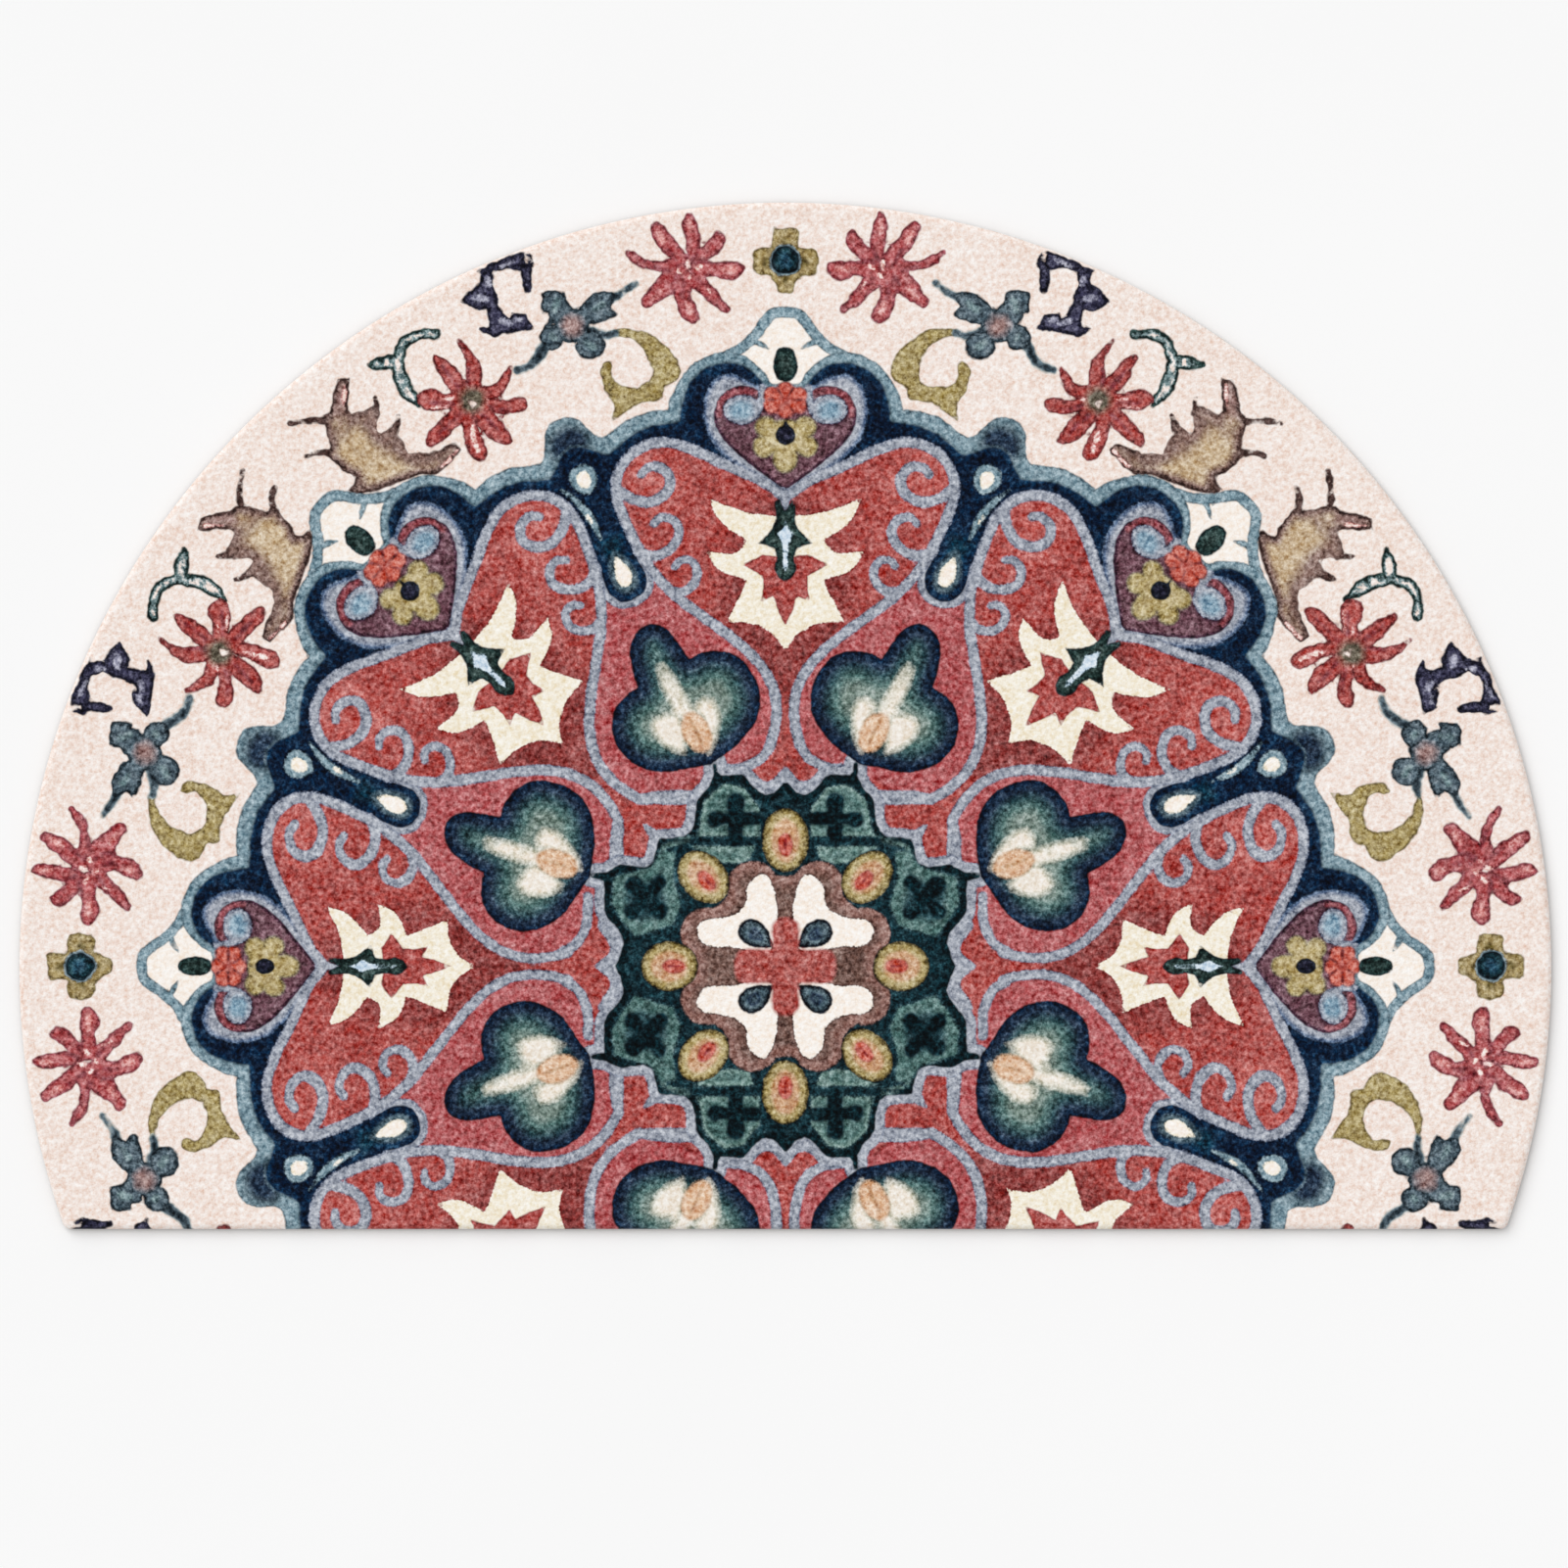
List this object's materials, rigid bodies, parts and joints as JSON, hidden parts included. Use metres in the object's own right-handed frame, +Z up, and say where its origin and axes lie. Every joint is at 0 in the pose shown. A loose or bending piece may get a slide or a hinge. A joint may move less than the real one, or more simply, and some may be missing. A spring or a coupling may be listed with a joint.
{
  "type": "half-round doormat",
  "caption": "Flat low-pile doormat cut as a disc with one side taken off straight, to lie on the floor with its straight edge along a door.",
  "frame": {"origin": "middle of the underside's bounding box, on the floor", "axes": "+X along the straight edge, +Y from the straight edge to the round one, +Z up out of the pile"},
  "size_m": [0.9, 0.603, 0.008],
  "materials": {
    "pile": "short matt pile in a printed floral medallion"
  },
  "bodies": {
    "root": {"mat": "pile"}
  },
  "joints": []
}
